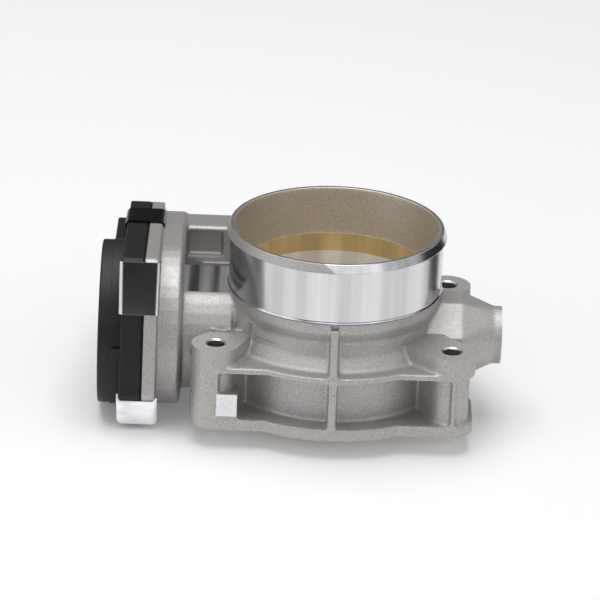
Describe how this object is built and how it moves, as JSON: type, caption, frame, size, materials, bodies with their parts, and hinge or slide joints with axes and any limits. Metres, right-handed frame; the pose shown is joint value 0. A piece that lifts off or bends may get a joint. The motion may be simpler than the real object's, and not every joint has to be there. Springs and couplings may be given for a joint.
{
  "type": "throttle body",
  "caption": "Electronic throttle body: cast bore with a bolted flange and hose collar, butterfly plate on a shaft, and a geared motor drive under a clipped cover.",
  "frame": {"origin": "the bore axis at the manifold face", "axes": "+Z along the bore towards the air inlet, X along the throttle shaft with the gear housing at -X"},
  "size_m": [0.1891, 0.1683, 0.0938],
  "materials": {
    "cast_aluminium": "as cast, blasted; the collar, bores and seats are machined bright",
    "steel": "ground",
    "spring_steel": "bright rolled strip",
    "brass": "satin",
    "copper": "lacquered winding",
    "magnet": "matt",
    "rubber": "matt",
    "black_plastic": "moulded, satin",
    "gear_plastic": "moulded, natural",
    "board": "lacquered"
  },
  "bodies": {
    "root": {"body_casting": "cast_aluminium", "left_bearing": "steel", "right_bearing": "steel", "left_shaft_seal": "rubber", "right_shaft_seal": "rubber", "shaft_end_plug": "steel", "intermediate_gear_pin": "steel", "motor_can": "steel", "motor_end_plate": "steel", "front_motor_magnet": "magnet", "rear_motor_magnet": "magnet", "motor_wave_washer": "steel", "upper_motor_screw": "steel", "lower_motor_screw": "steel", "return_spring": "steel", "throttle_stop_screw": "steel", "gear_cover": "black_plastic", "cover_gasket": "rubber", "sensor_board": "board", "front_cover_clip": "spring_steel", "lower_front_cover_clip": "spring_steel", "bottom_cover_clip": "spring_steel", "top_cover_clip": "spring_steel", "connector_pin_1": "brass", "connector_pin_2": "brass", "connector_pin_3": "brass", "connector_pin_4": "brass", "connector_pin_5": "brass", "connector_pin_6": "brass"},
    "throttle": {"throttle_shaft": "steel", "throttle_plate": "brass", "left_plate_screw": "steel", "right_plate_screw": "steel", "sector_gear": "gear_plastic", "sensor_rotor": "black_plastic"},
    "intermediate": {"intermediate_gear": "gear_plastic"},
    "motor_rotor": {"motor_shaft": "steel", "motor_pinion": "brass", "motor_armature": "copper"}
  },
  "joints": [
    {"name": "throttle_hinge", "type": "hinge", "parent": "root", "child": "throttle", "pos_m": [0, 0, 0.0312], "axis": [1, 0, 0], "range_deg": [-7, 80], "stiffness_Nm_per_rad": 0.1},
    {"name": "intermediate_spin", "type": "hinge", "parent": "root", "child": "intermediate", "pos_m": [0, 0.03853, 0.03727], "axis": [1, 0, 0], "range_deg": [-275, 30]},
    {"name": "motor_spin", "type": "hinge", "parent": "root", "child": "motor_rotor", "pos_m": [0, 0.07, 0.036], "axis": [1, 0, 0], "range_deg": [-80, 860]}
  ],
  "couplings": [
    {"joint": "intermediate_spin", "follows": "throttle_hinge", "ratio": -3.3333},
    {"joint": "motor_spin", "follows": "throttle_hinge", "ratio": 10.667}
  ]
}
